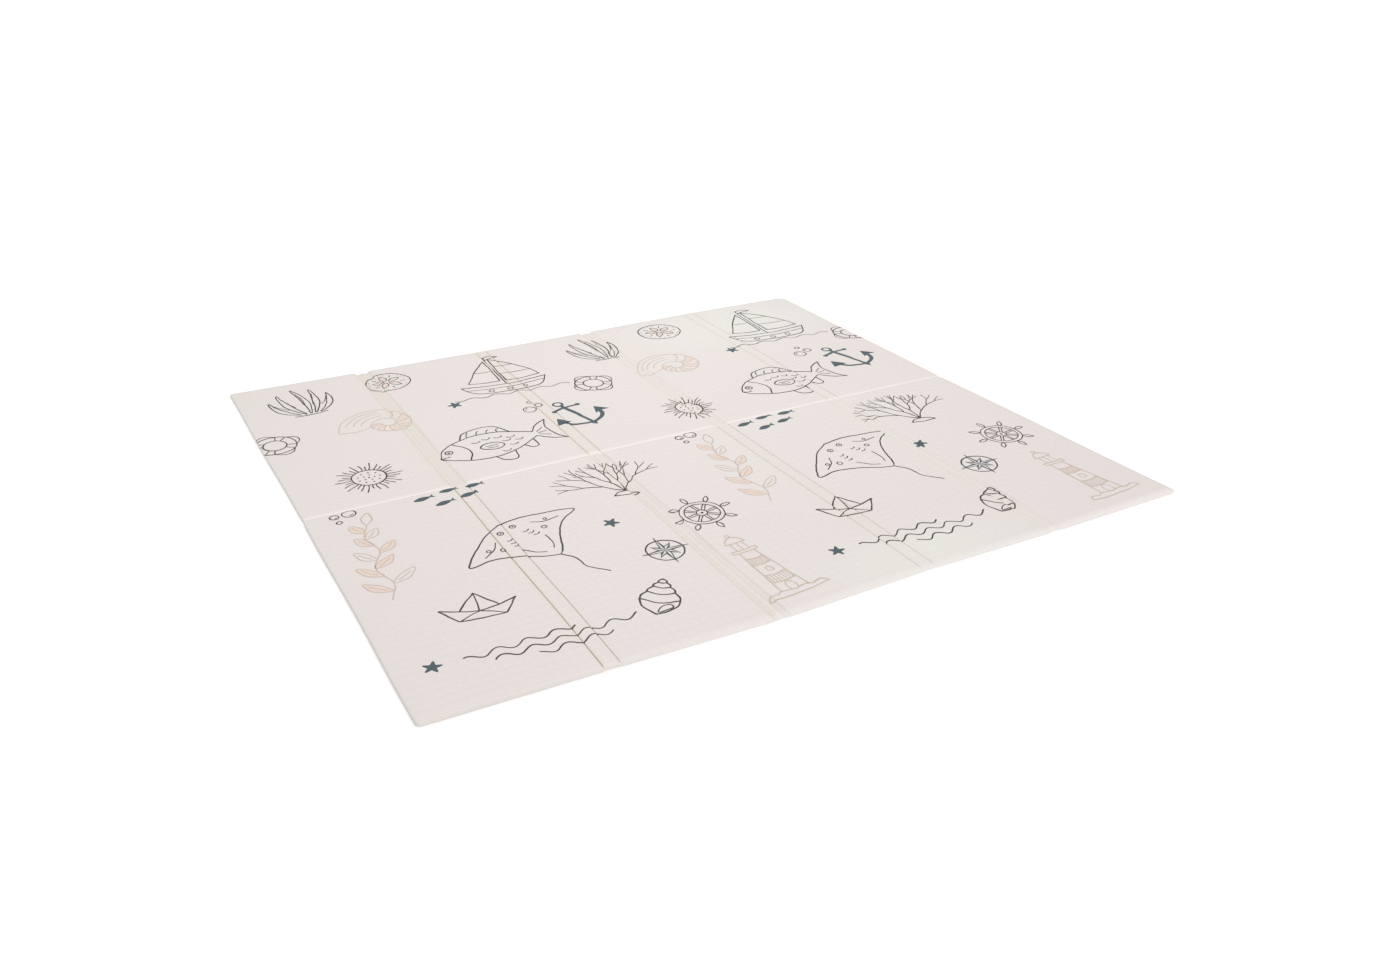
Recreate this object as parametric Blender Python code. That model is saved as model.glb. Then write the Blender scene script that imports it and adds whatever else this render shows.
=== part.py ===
"""Folding foam play mat, lying open and flat.

The mat is one sheet of soft foam with rounded corners and a rounded rim. Folds that are pressed
into both faces part it into five by two panels. Four fold bands run from the front edge to the
back edge, and one centre crease runs from left to right.

A band is either a wide trough with a low ridge along its middle, or a pair of narrow grooves. The
kind changes from band to band and at the centre crease, because the mat folds like a concertina
that is first folded in half. The underside has the other kind, pressed less deep.

Frame: metres, +X along the long side, +Y towards the back edge, +Z up. The origin is at the middle
of the underside, which lies flat on the floor.
"""

import math

import bmesh
import bpy

# Driving sizes
LENGTH = 2.000
DEPTH = 1.800
THICKNESS = 0.010
PANELS_ALONG = 5

# The back right corner is rounder than the others
CORNER_RADIUS = 0.010
BACK_RIGHT_RADIUS = 0.030

# Rim: how far in its edges are rounded, and the share of the thickness that stays upright
RIM_RADIUS = 0.0030
RIM_FLAT = 0.50

# Where the panel lines lie: the left rim, the four fold bands and the right rim. Columns: shifts
# in X and Y from an even split, at the front edge, at the centre crease and at the back edge
PANEL_LINES = (
    ((-0.0023, 0.0154), (0.0016, 0.0001), (-0.0003, 0.0008)),
    ((-0.0062, 0.0044), (-0.0044, -0.0008), (-0.0026, -0.0058)),
    ((-0.0155, -0.0099), (-0.0150, 0.0058), (-0.0146, -0.0075)),
    ((-0.0073, -0.0026), (-0.0172, 0.0070), (-0.0271, -0.0007)),
    ((-0.0191, -0.0108), (-0.0189, 0.0081), (-0.0187, 0.0109)),
    ((0.0023, -0.0101), (-0.0097, 0.0035), (-0.0091, 0.0049)),
)

# Trough: a wide fold of two flat valleys, with (distance from its middle, depth) for one side
TROUGH_PROFILE = (
    (0.0000, 0.0030),
    (0.0050, 0.0038),
    (0.0090, 0.0057),
    (0.0155, 0.0060),
    (0.0185, 0.0050),
    (0.0215, 0.0020),
    (0.0250, 0.0000),
)

# Groove pair: two narrow grooves with a level strip between them, at the same distances
GROOVE_PROFILE = (
    (0.0000, 0.0000),
    (0.0050, 0.0000),
    (0.0090, 0.0000),
    (0.0155, 0.0003),
    (0.0185, 0.0052),
    (0.0215, 0.0003),
    (0.0250, 0.0000),
)

# Centre crease: one shallow groove, with (distance from its middle, depth) for one side
CREASE_PROFILE = (
    (0.0000, 0.0026),
    (0.0050, 0.0016),
    (0.0120, 0.0000),
)

# Share of the top's fold depth that the underside has
UNDERSIDE_SHARE = 0.45

# How far the rim is drawn in at the end of each kind of fold
TROUGH_PULL = 0.0035
GROOVE_PULL = 0.0010
CREASE_PULL = 0.0020
PULL_REACH = 0.030
PULL_FADE = 0.060

# How near the rim the groove pair fades out
GROOVE_FADE = 0.012

# Unevenness: each panel line wanders a little from side to side, and a trough's depth varies
LINE_WANDER = 0.0010
LINE_WANDER_LENGTH = 0.62
LINE_WANDER_PHASE = 2.3
DEPTH_VARIATION = 0.12
DEPTH_VARIATION_LENGTH = 0.27
DEPTH_VARIATION_PHASE = 1.7
PANEL_SWELL = 0.0004

# Where the lines of the working grid lie: distances in from the rim, and rows on each half
RIM_LINES = (0.0, 0.0008, 0.0030, 0.0100, 0.0200, 0.0300)
ROWS_PER_PANEL = 7

FILM_COLOUR = (0.80, 0.745, 0.72, 1.0)
FILM_ROUGHNESS = 0.48
SHARP_ANGLE = math.radians(35)


def clear_scene():
    """Remove every object of the open scene."""
    for item in list(bpy.data.objects):
        bpy.data.objects.remove(item, do_unlink=True)


def on_profile(profile, distance):
    """Depth of a fold profile at a distance from the fold's middle."""
    distance = abs(distance)
    for (near, deep), (far, next_deep) in zip(profile, profile[1:]):
        if distance <= far:
            return deep + (next_deep - deep) * (distance - near) / (far - near)
    return 0.0


def smooth_step(low, high, value):
    """Smooth rise from 0 at low to 1 at high."""
    share = min(max((value - low) / (high - low), 0.0), 1.0)
    return share * share * (3 - 2 * share)


def wave(distance, length, phase):
    """A sine wave of a given length, at a distance along it."""
    return math.sin(2 * math.pi * distance / length + phase)


def fold_middles():
    """X of each fold band's middle on the even sheet, from left to right."""
    panel = LENGTH / PANELS_ALONG
    return [-LENGTH / 2 + panel * number for number in range(1, PANELS_ALONG)]


def is_trough(band, back_half, underside):
    """Whether a band is a trough there. The kind changes at every band and at the centre crease."""
    first = band % 2 == 0
    return (first == back_half) != underside


def fold_depth(band, offset, y, underside):
    """Depth of one fold band, at an offset in X from its middle."""
    share = UNDERSIDE_SHARE if underside else 1.0
    uneven = 1 + DEPTH_VARIATION * wave(y, DEPTH_VARIATION_LENGTH, DEPTH_VARIATION_PHASE * band)
    back_share = smooth_step(-CREASE_PROFILE[-1][0], CREASE_PROFILE[-1][0], y)
    total = 0.0
    for back_half, weight in ((True, back_share), (False, 1 - back_share)):
        if is_trough(band, back_half, underside):
            total += weight * uneven * on_profile(TROUGH_PROFILE, offset)
        else:
            fade = smooth_step(0.0, GROOVE_FADE, DEPTH / 2 - abs(y))
            total += weight * fade * on_profile(GROOVE_PROFILE, offset)
    return share * total


def relief(x, y, underside):
    """How far the folds press into a face at a point of the flat sheet."""
    depth = sum(
        fold_depth(band, x - middle, y, underside)
        for band, middle in enumerate(fold_middles())
    )
    share = UNDERSIDE_SHARE if underside else 1.0
    crease = share * on_profile(CREASE_PROFILE, y)
    return max(depth, crease)


def swell(x, y):
    """Slight rise and fall of the top between its folds."""
    panel = LENGTH / PANELS_ALONG
    across = math.sin(math.pi * (x + LENGTH / 2) / panel) ** 2
    along = math.sin(math.pi * y / (DEPTH / 2)) ** 2
    return PANEL_SWELL * across * along


def rim_share(inward):
    """Share of its full thickness that the mat has at a distance from the rim, which is round."""
    if inward >= RIM_RADIUS:
        return 1.0
    gap = 1 - inward / RIM_RADIUS
    return RIM_FLAT + (1 - RIM_FLAT) * math.sqrt(1 - gap * gap)


def edge_pull(x, y):
    """How far the front and back edges, and the side edges, are drawn in at the folds' ends."""
    from_long_edge = 0.0
    for band, middle in enumerate(fold_middles()):
        pull = TROUGH_PULL if is_trough(band, y > 0, False) else GROOVE_PULL
        near = 1 - smooth_step(0.0, PULL_REACH, abs(x - middle))
        from_long_edge = max(from_long_edge, pull * near)
    from_side = CREASE_PULL * (1 - smooth_step(0.0, PULL_REACH, abs(y)))
    fade_y = smooth_step(DEPTH / 2 - PULL_FADE, DEPTH / 2, abs(y))
    fade_x = smooth_step(LENGTH / 2 - PULL_FADE, LENGTH / 2, abs(x))
    return from_side * fade_x, from_long_edge * fade_y


def panel_shift(x, y):
    """Shift in X and Y of any point of the sheet, which is even between the panel lines."""
    across = (x / LENGTH + 0.5) * PANELS_ALONG
    along = (y / DEPTH + 0.5) * 2
    column, row = min(int(across), PANELS_ALONG - 1), min(int(along), 1)
    to_right, to_back = across - column, along - row
    weights = (
        (0, 0, (1 - to_right) * (1 - to_back)),
        (1, 0, to_right * (1 - to_back)),
        (0, 1, (1 - to_right) * to_back),
        (1, 1, to_right * to_back),
    )
    shift_x = LINE_WANDER * wave(y, LINE_WANDER_LENGTH, LINE_WANDER_PHASE * across)
    shift_y = 0.0
    for right, back, weight in weights:
        line_x, line_y = PANEL_LINES[column + right][row + back]
        shift_x += weight * line_x
        shift_y += weight * line_y
    return shift_x, shift_y


def round_corner(x, y):
    """Move a point of the square sheet so that the sheet's corners become round."""
    radius = BACK_RIGHT_RADIUS if x > 0 and y > 0 else CORNER_RADIUS
    centre_x = LENGTH / 2 - radius
    centre_y = DEPTH / 2 - radius
    out_x, out_y = abs(x) - centre_x, abs(y) - centre_y
    if out_x <= 0 or out_y <= 0:
        return x, y
    shrink = max(out_x, out_y) / math.hypot(out_x, out_y)
    return (
        math.copysign(centre_x + out_x * shrink, x),
        math.copysign(centre_y + out_y * shrink, y),
    )


def place(x, y, underside):
    """Point of the finished mat for a point of the flat square sheet."""
    inward = min(LENGTH / 2 - abs(x), DEPTH / 2 - abs(y))
    top = THICKNESS + swell(x, y) - relief(x, y, False)
    bottom = relief(x, y, True)
    middle_height = (top + bottom) / 2
    half = rim_share(inward) * (top - bottom) / 2
    height = middle_height - half if underside else middle_height + half
    pull_x, pull_y = edge_pull(x, y)
    shift_x, shift_y = panel_shift(x, y)
    round_x, round_y = round_corner(x, y)
    return (
        round_x + shift_x - math.copysign(pull_x, x),
        round_y + shift_y - math.copysign(pull_y, y),
        height,
    )


def column_lines():
    """X of the grid's columns: at both rims, across each fold band and at each panel's middle."""
    half = LENGTH / 2
    panel = LENGTH / PANELS_ALONG
    lines = {side * (half - inward) for side in (-1, 1) for inward in RIM_LINES}
    for middle in fold_middles():
        for offset, _ in TROUGH_PROFILE:
            lines |= {middle - offset, middle + offset}
    lines |= {-half + panel * (number + 0.5) for number in range(PANELS_ALONG)}
    return sorted({round(line, 6) for line in lines})


def row_lines():
    """Y of the grid's rows: at both rims, across the centre crease and evenly between them."""
    half = DEPTH / 2
    lines = {side * (half - inward) for side in (-1, 1) for inward in RIM_LINES}
    lines |= {side * offset for side in (-1, 1) for offset, _ in CREASE_PROFILE}
    start, end = CREASE_PROFILE[-1][0], half - RIM_LINES[-1]
    step = (end - start) / (ROWS_PER_PANEL + 1)
    for number in range(1, ROWS_PER_PANEL + 1):
        lines |= {start + number * step, -start - number * step}
    return sorted({round(line, 6) for line in lines})


def film_material():
    """Satin off-white film that covers the foam."""
    material = bpy.data.materials.new("printed_film")
    material.use_nodes = True
    shader = material.node_tree.nodes["Principled BSDF"]
    shader.inputs["Base Color"].default_value = FILM_COLOUR
    shader.inputs["Roughness"].default_value = FILM_ROUGHNESS
    shader.inputs["Metallic"].default_value = 0.0
    return material


def make_mat():
    """The whole mat: a grid that is extruded to two faces, each then pressed to its folds."""
    columns, rows = column_lines(), row_lines()
    bm = bmesh.new()
    bmesh.ops.create_grid(bm, x_segments=len(columns) - 1, y_segments=len(rows) - 1, size=0.5)
    extruded = bmesh.ops.extrude_face_region(bm, geom=bm.faces[:], use_keep_orig=True)
    top = {item for item in extruded["geom"] if isinstance(item, bmesh.types.BMVert)}
    for vert in bm.verts:
        column = round((vert.co.x + 0.5) * (len(columns) - 1))
        row = round((vert.co.y + 0.5) * (len(rows) - 1))
        vert.co = place(columns[column], rows[row], vert not in top)
    bmesh.ops.recalc_face_normals(bm, faces=bm.faces[:])
    mesh = bpy.data.meshes.new("play_mat")
    bm.to_mesh(mesh)
    bm.free()
    mesh.materials.append(film_material())
    mesh.shade_smooth()
    mesh.set_sharp_from_angle(angle=SHARP_ANGLE)
    mat = bpy.data.objects.new("play_mat", mesh)
    bpy.context.scene.collection.objects.link(mat)
    return mat


def main():
    """Clear the scene and build the mat."""
    clear_scene()
    make_mat()


main()
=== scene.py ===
"""Looks of a folding foam play mat that lies open and flat on the floor.

The mat is one sheet of soft closed-cell foam in an embossed satin film. Folds are pressed into both
of its faces. The film is printed with line drawings of the sea, which repeat every metre along the
mat. The mat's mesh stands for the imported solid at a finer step, and each ink is one thin mesh that
is cut along the mat's own grid lines and laid on its face.

Frame: metres, +X along the long side, +Y towards the back edge, +Z up. The origin is at the middle
of the underside.
"""

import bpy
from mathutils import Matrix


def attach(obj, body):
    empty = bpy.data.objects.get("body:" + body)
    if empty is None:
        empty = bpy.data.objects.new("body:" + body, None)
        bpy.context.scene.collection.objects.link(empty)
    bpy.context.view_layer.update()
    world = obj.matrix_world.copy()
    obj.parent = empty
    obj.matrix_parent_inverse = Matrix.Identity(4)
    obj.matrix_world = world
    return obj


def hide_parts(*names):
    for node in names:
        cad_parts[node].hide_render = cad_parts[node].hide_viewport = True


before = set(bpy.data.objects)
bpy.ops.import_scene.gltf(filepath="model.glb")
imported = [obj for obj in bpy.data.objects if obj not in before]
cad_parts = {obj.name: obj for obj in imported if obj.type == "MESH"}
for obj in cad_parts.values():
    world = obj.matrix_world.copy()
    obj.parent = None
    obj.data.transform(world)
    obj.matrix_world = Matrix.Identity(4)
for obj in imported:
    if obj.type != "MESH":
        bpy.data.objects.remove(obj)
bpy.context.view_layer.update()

import logging
import math
import random
from abc import ABC, abstractmethod
from collections.abc import Callable
from dataclasses import dataclass
from enum import Enum

import bmesh
import bpy
import numpy as np
from mathutils import Matrix, Vector

LOG = logging.getLogger("play_mat")
MM = 0.001
BODY = "root"

# A path is a row of points on a plane, each written as x + y j
Path = np.ndarray


# Small helpers


def linear(colour: str) -> tuple[float, float, float, float]:
    """Turn an sRGB hex colour to linear.

    Args:
        colour: six hex digits after a #.

    Returns:
        Red, green, blue and an alpha of 1.
    """
    shares = [int(colour[place : place + 2], 16) / 255 for place in (1, 3, 5)]
    red, green, blue = (
        share / 12.92 if share <= 0.04045 else ((share + 0.055) / 1.055) ** 2.4 for share in shares
    )
    return red, green, blue, 1.0


def set_inputs(node: bpy.types.Node, inputs: dict[str | int, object]) -> None:
    """Give a node's inputs their values, or link them from other nodes' outputs."""
    for name, value in inputs.items():
        if isinstance(value, bpy.types.NodeSocket):
            node.id_data.links.new(value, node.inputs[name])
        else:
            node.inputs[name].default_value = value


def add_node(
    tree: bpy.types.NodeTree,
    kind: str,
    inputs: dict[str | int, object] | None = None,
    output: str | int = 0,
    **settings: object,
) -> bpy.types.NodeSocket:
    """Add a shader node, with its settings, input values and links.

    Args:
        tree: the material's node tree.
        kind: the node's type name without ShaderNode.
        inputs: for each input, a value or the output that it is linked from.
        output: the output that is wanted.
        settings: attributes of the node itself.

    Returns:
        That output.
    """
    node = tree.nodes.new("ShaderNode" + kind)
    for name, value in settings.items():
        setattr(node, name, value)
    set_inputs(node, inputs or {})
    return node.outputs[output]


def new_material(name: str) -> tuple[bpy.types.Material, bpy.types.Node]:
    """Make a material, and give it with its Principled shader."""
    material = bpy.data.materials.new(name)
    material.use_nodes = True
    return material, material.node_tree.nodes["Principled BSDF"]


def smooth_step(low: float, high: float, value: np.ndarray) -> np.ndarray:
    """Rise smoothly from 0 at low to 1 at high."""
    share = np.clip((value - low) / (high - low), 0.0, 1.0)
    return share * share * (3 - 2 * share)


def wave(distance: np.ndarray, length: float, phase: float) -> np.ndarray:
    """Give a sine wave of a given length, at distances along it."""
    return np.sin(2 * np.pi * distance / length + phase)


def hump(distance: np.ndarray, reach: float, power: int = 2) -> np.ndarray:
    """Fall smoothly from 1 at no distance to almost 0 beyond about twice a reach."""
    return np.exp(-((distance / reach) ** power))


def make_piece(name: str, bm: bmesh.types.BMesh, material: bpy.types.Material) -> bpy.types.Object:
    """Turn a bmesh into an object of the scene.

    Args:
        name: name of the piece.
        bm: its mesh, which is freed.
        material: its only material.

    Returns:
        The new object, smooth shaded.
    """
    mesh = bpy.data.meshes.new(name)
    bm.to_mesh(mesh)
    bm.free()
    mesh.materials.append(material)
    mesh.shade_smooth()
    piece = bpy.data.objects.new(name, mesh)
    bpy.context.scene.collection.objects.link(piece)
    return piece


# Form of the mat


@dataclass(frozen=True)
class FoldProfile:
    """Cross-section of one kind of fold, alike on both sides of its middle.

    Attributes:
        points: distance from the middle and depth, outwards.
        softness: how far its corners are rounded.
        samples: how many points of the rounded line are worked out.
    """

    points: tuple[tuple[float, float], ...]
    softness: float
    samples: int = 801

    def depth(self, offset: np.ndarray) -> np.ndarray:
        """Give the depth at offsets from the fold's middle."""
        reach = 2 * self.points[-1][0]
        line = np.linspace(-reach, reach, self.samples)
        distances, depths = zip(*self.points)
        plain = np.interp(np.abs(line), distances, depths)
        kernel = np.exp(-0.5 * (line / self.softness) ** 2)
        rounded = np.convolve(plain, kernel / kernel.sum(), mode="same")
        return np.interp(np.abs(offset), line, rounded, right=0.0)


# How far each groove of a pair, and the deep end of each low line of a trough, is from the middle
GROOVE_AT = 0.0185
TROUGH = FoldProfile(
    (
        (0.0000, 0.0030),
        (0.0050, 0.0038),
        (0.0090, 0.0057),
        (0.0155, 0.0060),
        (GROOVE_AT, 0.0050),
        (0.0215, 0.0020),
        (0.0250, 0.0000),
    ),
    softness=0.0011,
)
GROOVES = FoldProfile(
    (
        (0.0000, 0.0000),
        (0.0160, 0.0000),
        (0.0173, 0.0006),
        (GROOVE_AT, 0.0046),
        (0.0197, 0.0006),
        (0.0210, 0.0000),
        (0.0250, 0.0000),
    ),
    softness=0.00025,
)
CREASE = FoldProfile(
    (
        (0.0000, 0.0027),
        (0.0050, 0.0016),
        (0.0120, 0.0000),
    ),
    softness=0.0012,
)


@dataclass(frozen=True)
class PressedForm:
    """The mat's form: where a point of the flat square sheet lies on the pressed mat.

    Attributes:
        length: size along X.
        depth: size along Y.
        thickness: size along Z between the folds.
        panels: panels along X.
        lines: where the panel lines lie, from the left rim to the right rim, as shifts from an
            even split: in X at the front edge, the crease and the back edge, then in Y there.
        crease_bow: how far the crease bows round the end of a trough, and half how wide.
        wander: how far a panel line wanders sideways, the length of its wave and its phase.
        uneven: by how much of itself a trough's depth varies, and the length and phase of that.
        crease_uneven: the same for the crease.
        ripple: height of the slight ripple on the panels.
        ripple_waves: the length and phase of its two waves, which cross.
        film_slack: how many times as much film a trough takes in as its shape needs.
        film_over: how far the film is worked out past the rim.
        film_samples: how many points of the film are worked out across the mat.
    """

    length: float = 2.000
    depth: float = 1.800
    thickness: float = 0.010
    panels: int = 5
    lines: tuple[tuple[float, ...], ...] = (
        (-0.0023, 0.0016, -0.0003, 0.0154, 0.0001, 0.0008),
        (-0.0062, -0.0044, -0.0026, 0.0044, -0.0008, -0.0058),
        (-0.0155, -0.0150, -0.0146, -0.0099, 0.0058, -0.0075),
        (-0.0073, -0.0172, -0.0271, -0.0026, 0.0070, -0.0007),
        (-0.0191, -0.0189, -0.0187, -0.0108, 0.0081, 0.0109),
        (0.0023, -0.0097, -0.0091, -0.0101, 0.0035, 0.0049),
    )
    corner_radius: float = 0.010
    back_right_radius: float = 0.030
    rim_radius: float = 0.0050
    rim_flat: float = 0.50
    lip_drop: float = 0.0016
    lip_reach: float = 0.024
    underside_share: float = 0.45
    trough_pull: float = 0.0035
    groove_pull: float = 0.0010
    crease_pull: float = 0.0020
    crease_bow: tuple[float, float] = (0.0060, 0.017)
    pull_reach: float = 0.030
    pull_fade: float = 0.060
    groove_fade: float = 0.012
    wander: tuple[float, ...] = (0.0010, 0.62, 2.3)
    uneven: tuple[float, ...] = (0.12, 0.27, 1.7)
    crease_uneven: tuple[float, ...] = (0.10, 0.31, 0.6)
    film_slack: float = 2.0
    film_over: float = 0.05
    film_samples: int = 16801
    panel_swell: float = 0.0004
    ripple: float = 0.00012
    ripple_waves: tuple[tuple[float, float], ...] = ((0.173, 0.4), (0.211, 1.9))
    blend: float = 0.0005

    def middles(self) -> list[float]:
        """Give X of each fold band's middle on the flat sheet."""
        panel = self.length / self.panels
        return [-self.length / 2 + panel * number for number in range(1, self.panels)]

    def is_trough(self, band: int, back_half: bool, underside: bool) -> bool:
        """Say whether a band is a trough there, not a pair of grooves."""
        return ((band % 2 == 0) == back_half) != underside

    def back_share(self, y: np.ndarray) -> np.ndarray:
        """Give how far a point belongs to the back half: 1 behind the crease, 0 before it."""
        reach = CREASE.points[-1][0]
        return smooth_step(-reach, reach, y)

    def behind_crease(self, x: np.ndarray, y: np.ndarray) -> np.ndarray:
        """Give how far points lie behind the crease, which bows round the end of each trough."""
        bow, reach = self.crease_bow
        for band, middle in enumerate(self.middles()):
            side = 1 if self.is_trough(band, True, False) else -1
            y = y + side * bow * hump(x - middle, reach)
        return y

    def kind_share(self, band: int, y: np.ndarray, underside: bool) -> np.ndarray:
        """Give how far a band is a trough at points along it, from 0 to 1."""
        share = self.back_share(y)
        return share if self.is_trough(band, True, underside) else 1 - share

    def groove_share(self, y: np.ndarray) -> np.ndarray:
        """Give how much of a groove there is at points along it, since it fades at the rim."""
        return smooth_step(0.0, self.groove_fade, self.depth / 2 - np.abs(y))

    def relief(self, x: np.ndarray, y: np.ndarray, underside: bool) -> np.ndarray:
        """Give how deep the folds are pressed into a face.

        Args:
            x: X on the flat sheet.
            y: Y on the flat sheet.
            underside: whether the face is the underside.

        Returns:
            Depth at each point.
        """
        total = np.zeros(np.broadcast(x, y).shape)
        behind = self.behind_crease(x, y)
        share, length, phase = self.uneven
        for band, middle in enumerate(self.middles()):
            trough = self.kind_share(band, behind, underside)
            uneven = 1 + share * wave(y, length, phase * band)
            total = total + trough * uneven * TROUGH.depth(x - middle)
            total = total + (1 - trough) * self.groove_share(y) * GROOVES.depth(x - middle)
        share, length, phase = self.crease_uneven
        crease = CREASE.depth(behind) * (1 + share * wave(x, length, phase))
        deeper = (total + crease + np.hypot(total - crease, self.blend) - self.blend) / 2
        return deeper * (self.underside_share if underside else 1.0)

    def swell(self, x: np.ndarray, y: np.ndarray) -> np.ndarray:
        """Give the slight rise and fall of the top between its folds."""
        panel = self.length / self.panels
        across = np.sin(np.pi * (x + self.length / 2) / panel) ** 2
        along = np.sin(np.pi * y / (self.depth / 2)) ** 2
        first, second = self.ripple_waves
        ripple = self.ripple * wave(x + 0.4 * y, *first) * wave(y - 0.3 * x, *second)
        return self.panel_swell * across * along + ripple * across

    def rim_share(self, inward: np.ndarray) -> np.ndarray:
        """Give the share of its full thickness that the mat has at distances from its rim."""
        gap = 1 - np.clip(inward / self.rim_radius, 0.0, 1.0)
        return self.rim_flat + (1 - self.rim_flat) * np.sqrt(1 - gap * gap)

    def lip(self, inward: np.ndarray) -> np.ndarray:
        """Give how far the top slopes off towards the rim, where the film is bonded down."""
        return self.lip_drop * (1 - np.clip(inward / self.lip_reach, 0.0, 1.0)) ** 2

    def edge_pull(self, x: np.ndarray, y: np.ndarray) -> tuple[np.ndarray, np.ndarray]:
        """Give how far the rim is drawn in at the folds' ends, along X and along Y."""
        inwards = np.zeros(np.broadcast(x, y).shape)
        for band, middle in enumerate(self.middles()):
            trough = self.kind_share(band, y, False)
            pull = trough * self.trough_pull + (1 - trough) * self.groove_pull
            near = 1 - smooth_step(0.0, self.pull_reach, np.abs(x - middle))
            inwards = np.maximum(inwards, pull * near)
        sideways = self.crease_pull * (1 - smooth_step(0.0, self.pull_reach, np.abs(y)))
        fade_y = smooth_step(self.depth / 2 - self.pull_fade, self.depth / 2, np.abs(y))
        fade_x = smooth_step(self.length / 2 - self.pull_fade, self.length / 2, np.abs(x))
        return sideways * fade_x, inwards * fade_y

    def panel_shift(self, x: np.ndarray, y: np.ndarray) -> tuple[np.ndarray, np.ndarray]:
        """Give the shift in X and Y of the sheet, which is even between the panel lines."""
        across = (x / self.length + 0.5) * self.panels
        to_line = np.arange(self.panels + 1)
        rows = [np.interp(across, to_line, column) for column in zip(*self.lines)]
        along = y / (self.depth / 2)
        to_front, to_back = np.clip(-along, 0.0, 1.0), np.clip(along, 0.0, 1.0)
        near_crease = 1 - to_front - to_back
        shift_x = rows[0] * to_front + rows[1] * near_crease + rows[2] * to_back
        shift_y = rows[3] * to_front + rows[4] * near_crease + rows[5] * to_back
        reach, length, phase = self.wander
        return shift_x + reach * wave(y, length, phase * across), shift_y

    def round_corner(self, x: np.ndarray, y: np.ndarray) -> tuple[np.ndarray, np.ndarray]:
        """Move points of the square sheet so that its corners become round."""
        radius = np.where((x > 0) & (y > 0), self.back_right_radius, self.corner_radius)
        centre_x = self.length / 2 - radius
        centre_y = self.depth / 2 - radius
        out_x, out_y = np.abs(x) - centre_x, np.abs(y) - centre_y
        corner = (out_x > 0) & (out_y > 0)
        spread = np.where(corner, np.hypot(out_x, out_y), 1.0)
        shrink = np.where(corner, np.maximum(out_x, out_y) / spread, 1.0)
        round_x = np.where(corner, np.sign(x) * (centre_x + out_x * shrink), x)
        round_y = np.where(corner, np.sign(y) * (centre_y + out_y * shrink), y)
        return round_x, round_y

    def place(self, x: np.ndarray, y: np.ndarray, underside: bool) -> np.ndarray:
        """Give the points of the finished mat for points of the flat sheet.

        Args:
            x: X on the flat sheet.
            y: Y on the flat sheet.
            underside: whether the points are on the underside.

        Returns:
            X, Y and Z of each point, in the last axis.
        """
        inward = np.minimum(self.length / 2 - np.abs(x), self.depth / 2 - np.abs(y))
        top = self.thickness + self.swell(x, y) - self.relief(x, y, False) - self.lip(inward)
        bottom = self.relief(x, y, True)
        half = self.rim_share(inward) * (top - bottom) / 2
        height = (top + bottom) / 2 + (-half if underside else half)
        pull_x, pull_y = self.edge_pull(x, y)
        shift_x, shift_y = self.panel_shift(x, y)
        round_x, round_y = self.round_corner(x, y)
        along_x = round_x + shift_x - np.sign(x) * pull_x
        along_y = round_y + shift_y - np.sign(y) * pull_y
        return np.stack([along_x, along_y, height], axis=-1)

    def film_to_sheet(self, x: np.ndarray, y: np.ndarray) -> np.ndarray:
        """Give X on the sheet for points of the film, which goes down and up each fold.

        The film is longer than the sheet that it covers, so a line of the print steps where a fold
        takes it in. A trough also takes in film that is slack.

        Args:
            x: X on the film, from the middle of the mat.
            y: Y on the sheet.

        Returns:
            X on the sheet.
        """
        reach = self.length / 2 + self.film_over
        line = np.linspace(-reach, reach, self.film_samples)
        step = line[1] - line[0]
        found = []
        for back_half in (True, False):
            depth = np.zeros_like(line)
            for band, middle in enumerate(self.middles()):
                trough = self.is_trough(band, back_half, False)
                fold, slack = (TROUGH, self.film_slack) if trough else (GROOVES, 1.0)
                depth += slack * fold.depth(line - middle)
            film = np.concatenate([[0.0], np.cumsum(np.hypot(step, np.diff(depth)))])
            film -= film[len(film) // 2]
            found.append(np.interp(x, film, line))
        share = self.back_share(y)
        return share * found[0] + (1 - share) * found[1]


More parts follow.
